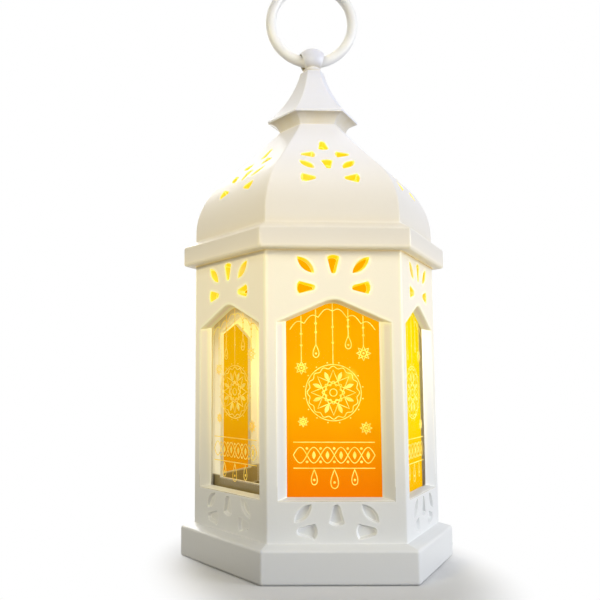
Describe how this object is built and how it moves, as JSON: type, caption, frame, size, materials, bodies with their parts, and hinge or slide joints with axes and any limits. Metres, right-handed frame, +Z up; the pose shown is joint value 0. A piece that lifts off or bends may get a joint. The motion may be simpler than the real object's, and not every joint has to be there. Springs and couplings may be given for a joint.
{
  "type": "fanous lantern",
  "caption": "Hexagonal table and hanging lantern with arched amber windows, a pierced ogee dome, a spire finial, a swinging ring and a battery light in its base.",
  "frame": {"origin": "centre of the underside, on the surface the lantern stands on", "axes": "+Z up, -Y out of the front window, the plinth's corners on X"},
  "size_m": [0.0696, 0.0606, 0.1548],
  "materials": {
    "white_plastic": "satin ivory white moulded plastic",
    "clear_pane": "clear acrylic sheet with a thin yellow line print",
    "amber_film": "translucent amber film",
    "screw_steel": "zinc-plated steel",
    "cell_steel": "bright steel can",
    "contact_metal": "nickel-plated spring strip",
    "board_laminate": "green laminate",
    "chip_ceramic": "black chip",
    "led_resin": "clear warm-white lamp resin",
    "switch_steel": "pressed steel",
    "black_plastic": "matte black",
    "lead_red": "soft insulation",
    "lead_black": "soft insulation"
  },
  "bodies": {
    "lantern": {"amber_film_back": "amber_film", "amber_film_back_left": "amber_film", "amber_film_front": "amber_film", "amber_film_front_right": "amber_film", "base_plinth": "white_plastic", "bottom_cover": "white_plastic", "cell_contact_side": "contact_metal", "cell_contact_top": "contact_metal", "circuit_board": "board_laminate", "coin_cell": "cell_steel", "cover_screws": "screw_steel", "dome_roof": "white_plastic", "finial_cap": "white_plastic", "finial_screw": "screw_steel", "lantern_body": "white_plastic", "led_lamp": "led_resin", "resistor": "chip_ceramic", "switch_housing": "switch_steel", "switch_lead_black": "lead_black", "switch_lead_red": "lead_red", "window_pane_back": "clear_pane", "window_pane_back_left": "clear_pane", "window_pane_back_right": "clear_pane", "window_pane_front": "clear_pane", "window_pane_front_left": "clear_pane", "window_pane_front_right": "clear_pane"},
    "ring": {"hanging_ring": "white_plastic"},
    "switch": {"switch_knob": "black_plastic"},
    "door": {"battery_door": "white_plastic"}
  },
  "joints": [
    {"name": "ring_swing", "type": "hinge", "parent": "lantern", "child": "ring", "pos_m": [0, 0, 0.13095], "axis": [1, 0, 0], "range_deg": [-140, 140]},
    {"name": "switch_slide", "type": "slide", "parent": "lantern", "child": "switch", "axis": [0, -1, 0], "range_m": [0, 0.002]},
    {"name": "battery_door_turn", "type": "hinge", "parent": "lantern", "child": "door", "pos_m": [0, 0, 0.0015], "axis": [0, 0, -1], "range_deg": [0, 45]}
  ]
}
